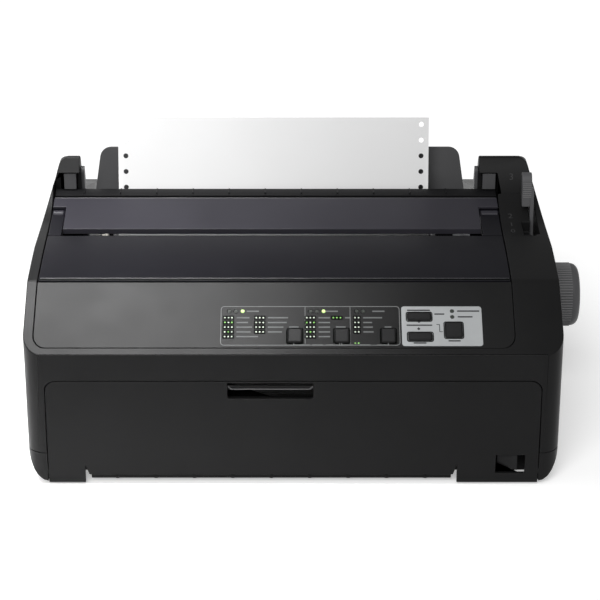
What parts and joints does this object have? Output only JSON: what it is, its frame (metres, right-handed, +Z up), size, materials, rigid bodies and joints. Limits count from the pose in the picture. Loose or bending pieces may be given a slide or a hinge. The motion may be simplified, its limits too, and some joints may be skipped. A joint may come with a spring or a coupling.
{
  "type": "dot matrix printer",
  "caption": "Desktop dot matrix printer with smoked top cover, sloping control panel, tractor feed, platen knob and a sheet of continuous paper loaded",
  "frame": {"origin": "On the table, under the middle of the whole printer with its platen knob", "axes": "+Z up, +Y from the front face to the rear, +X to the right as seen from the front, where the platen knob is"},
  "size_m": [0.43, 0.384, 0.2221],
  "materials": {
    "casing": "fine-textured charcoal moulded plastic",
    "panel": "fine-textured charcoal plastic with light grey printing",
    "smoked_cover": "dark smoked plastic with a satin gloss",
    "dark_plastic": "black moulded plastic",
    "grey_plastic": "mid grey moulded plastic",
    "light_plastic": "off-white self-lubricating plastic",
    "silver_label": "silver grey film",
    "indicator": "small yellow-green indicator lamps",
    "circuit_board": "green solder mask",
    "steel": "zinc-plated sheet and ground rod",
    "motor_black": "black painted motor can",
    "rubber": "black rubber",
    "ribbon_fabric": "black inked woven nylon",
    "head_alloy": "black anodised finned casting",
    "paper": "white continuous paper with feed holes"
  },
  "bodies": {
    "root": {"lower_case": "casing", "top_case": "casing", "rubber_feet": "rubber", "case_screws": "steel", "side_frames": "steel", "shield_plate": "steel", "front_paper_guide": "dark_plastic", "exit_guide": "dark_plastic", "guide_brackets": "grey_plastic", "control_panel": "panel", "panel_overlay": "silver_label", "indicator_lights": "indicator", "circuit_boards": "circuit_board", "power_supply": "steel", "power_inlet": "dark_plastic", "interface_connectors": "steel", "feed_motor": "motor_black", "carriage_motor": "motor_black", "carriage_rod": "steel", "carriage_rail": "steel", "timing_belt": "rubber", "idler_bracket": "steel", "platen_bushes": "light_plastic", "ribbon_cartridge": "dark_plastic", "ribbon": "ribbon_fabric", "tractor_rail": "steel", "paper": "paper"},
    "printer_cover": {"printer_cover": "smoked_cover"},
    "separator": {"separator": "smoked_cover"},
    "front_cover": {"front_cover": "casing"},
    "select_left": {"select_button_left": "grey_plastic"},
    "select_right": {"select_button_right": "grey_plastic"},
    "set_key": {"set_button": "grey_plastic"},
    "load_key": {"load_button": "grey_plastic"},
    "feed_key": {"feed_button": "grey_plastic"},
    "pause_key": {"pause_button": "grey_plastic"},
    "power_rocker": {"power_rocker": "grey_plastic"},
    "thickness_lever": {"thickness_lever": "grey_plastic"},
    "platen": {"platen_roller": "rubber", "platen_shaft": "steel", "platen_knob": "grey_plastic", "platen_gear": "light_plastic"},
    "feed_pinion": {"feed_pinion": "steel"},
    "idler_gear": {"idler_gear": "light_plastic"},
    "tractor_drive": {"tractor_shaft": "steel", "tractor_gear": "light_plastic"},
    "tractor_left": {"tractor_left": "grey_plastic"},
    "tractor_right": {"tractor_right": "grey_plastic"},
    "flap_left": {"flap_left": "grey_plastic"},
    "flap_right": {"flap_right": "grey_plastic"},
    "lock_left": {"lock_lever_left": "light_plastic"},
    "lock_right": {"lock_lever_right": "light_plastic"},
    "sprocket_left": {"sprocket_left": "light_plastic"},
    "sprocket_right": {"sprocket_right": "light_plastic"},
    "carriage": {"carriage": "dark_plastic", "print_head": "head_alloy"},
    "motor_pulley": {"motor_pulley": "steel"},
    "idler_pulley": {"idler_pulley": "steel"},
    "ribbon_knob": {"ribbon_knob": "grey_plastic"},
    "sheet_guide": {"sheet_guide": "dark_plastic"}
  },
  "joints": [
    {"name": "cover_hinge", "type": "hinge", "parent": "root", "child": "printer_cover", "pos_m": [-0.016, -0.027, 0.1566], "axis": [-1, 0, 0], "range_deg": [0, 75]},
    {"name": "separator_hinge", "type": "hinge", "parent": "printer_cover", "child": "separator", "pos_m": [-0.016, -0.027, 0.1566], "axis": [-1, 0, 0], "range_deg": [0, 25]},
    {"name": "front_cover_hinge", "type": "hinge", "parent": "root", "child": "front_cover", "pos_m": [-0.016, -0.1885, 0.005], "axis": [1, 0, 0], "range_deg": [0, 80]},
    {"name": "select_left_press", "type": "slide", "parent": "root", "child": "select_left", "axis": [0, 0.585, -0.8111], "range_m": [0, 0.001], "stiffness_N_per_m": 300, "springref_m": -0.0015},
    {"name": "select_right_press", "type": "slide", "parent": "root", "child": "select_right", "axis": [0, 0.585, -0.8111], "range_m": [0, 0.001], "stiffness_N_per_m": 300, "springref_m": -0.0015},
    {"name": "set_press", "type": "slide", "parent": "root", "child": "set_key", "axis": [0, 0.585, -0.8111], "range_m": [0, 0.001], "stiffness_N_per_m": 300, "springref_m": -0.0015},
    {"name": "load_press", "type": "slide", "parent": "root", "child": "load_key", "axis": [0, 0.585, -0.8111], "range_m": [0, 0.001], "stiffness_N_per_m": 300, "springref_m": -0.0015},
    {"name": "feed_press", "type": "slide", "parent": "root", "child": "feed_key", "axis": [0, 0.585, -0.8111], "range_m": [0, 0.001], "stiffness_N_per_m": 300, "springref_m": -0.0015},
    {"name": "pause_press", "type": "slide", "parent": "root", "child": "pause_key", "axis": [0, 0.585, -0.8111], "range_m": [0, 0.001], "stiffness_N_per_m": 300, "springref_m": -0.0015},
    {"name": "power_rock", "type": "hinge", "parent": "root", "child": "power_rocker", "pos_m": [0.144, -0.182, 0.017], "axis": [0, 0, 1], "range_deg": [0, 16]},
    {"name": "thickness_set", "type": "hinge", "parent": "root", "child": "thickness_lever", "pos_m": [0.1685, -0.044, 0.104], "axis": [1, 0, 0], "range_deg": [-6, 20]},
    {"name": "platen_turn", "type": "hinge", "parent": "root", "child": "platen", "pos_m": [-0.016, -0.017, 0.0823], "axis": [1, 0, 0], "continuous": true},
    {"name": "feed_pinion_turn", "type": "hinge", "parent": "root", "child": "feed_pinion", "pos_m": [-0.176, 0.00145, 0.05494], "axis": [1, 0, 0], "continuous": true},
    {"name": "idler_turn", "type": "hinge", "parent": "root", "child": "idler_gear", "pos_m": [-0.176, 0.03027, 0.07396], "axis": [1, 0, 0], "continuous": true},
    {"name": "tractor_turn", "type": "hinge", "parent": "root", "child": "tractor_drive", "pos_m": [-0.016, 0.06598, 0.08696], "axis": [1, 0, 0], "continuous": true},
    {"name": "tractor_left_slide", "type": "slide", "parent": "root", "child": "tractor_left", "axis": [1, 0, 0], "range_m": [0, 0.08]},
    {"name": "tractor_right_slide", "type": "slide", "parent": "root", "child": "tractor_right", "axis": [-1, 0, 0], "range_m": [-0.012, 0.09]},
    {"name": "flap_left_hinge", "type": "hinge", "parent": "tractor_left", "child": "flap_left", "pos_m": [-0.1655, 0.06598, 0.10573], "axis": [0, -1, 0], "range_deg": [0, 100]},
    {"name": "flap_right_hinge", "type": "hinge", "parent": "tractor_right", "child": "flap_right", "pos_m": [0.1015, 0.06598, 0.10573], "axis": [0, 1, 0], "range_deg": [0, 100]},
    {"name": "lock_left_turn", "type": "hinge", "parent": "tractor_left", "child": "lock_left", "pos_m": [-0.167, 0.09098, 0.08096], "axis": [-1, 0, 0], "range_deg": [0, 60]},
    {"name": "lock_right_turn", "type": "hinge", "parent": "tractor_right", "child": "lock_right", "pos_m": [0.103, 0.09098, 0.08096], "axis": [-1, 0, 0], "range_deg": [0, 60]},
    {"name": "sprocket_left_turn", "type": "hinge", "parent": "tractor_left", "child": "sprocket_left", "pos_m": [-0.151, 0.06598, 0.08696], "axis": [1, 0, 0], "continuous": true},
    {"name": "sprocket_right_turn", "type": "hinge", "parent": "tractor_right", "child": "sprocket_right", "pos_m": [0.087, 0.06598, 0.08696], "axis": [1, 0, 0], "continuous": true},
    {"name": "carriage_slide", "type": "slide", "parent": "root", "child": "carriage", "axis": [1, 0, 0], "range_m": [0, 0.222]},
    {"name": "motor_pulley_turn", "type": "hinge", "parent": "root", "child": "motor_pulley", "pos_m": [-0.158, -0.092, 0.047], "axis": [0, 0, 1], "range_deg": [-2025, 0]},
    {"name": "idler_pulley_turn", "type": "hinge", "parent": "root", "child": "idler_pulley", "pos_m": [0.106, -0.092, 0.047], "axis": [0, 0, 1], "range_deg": [-2025, 0]},
    {"name": "ribbon_knob_turn", "type": "hinge", "parent": "root", "child": "ribbon_knob", "pos_m": [-0.151, -0.115, 0.104], "axis": [0, 0, 1], "continuous": true},
    {"name": "sheet_guide_tilt", "type": "hinge", "parent": "root", "child": "sheet_guide", "pos_m": [-0.027, 0.021, 0.148], "axis": [-1, 0, 0], "range_deg": [0, 50]}
  ],
  "couplings": [
    {"joint": "feed_pinion_turn", "follows": "platen_turn", "ratio": -3.125},
    {"joint": "idler_turn", "follows": "platen_turn", "ratio": -1.087},
    {"joint": "tractor_turn", "follows": "platen_turn", "ratio": 1.6667},
    {"joint": "sprocket_left_turn", "follows": "platen_turn", "ratio": 1.6667},
    {"joint": "sprocket_right_turn", "follows": "platen_turn", "ratio": 1.6667},
    {"joint": "motor_pulley_turn", "follows": "carriage_slide", "rad_per_m": -158.73},
    {"joint": "idler_pulley_turn", "follows": "carriage_slide", "rad_per_m": -158.73}
  ]
}
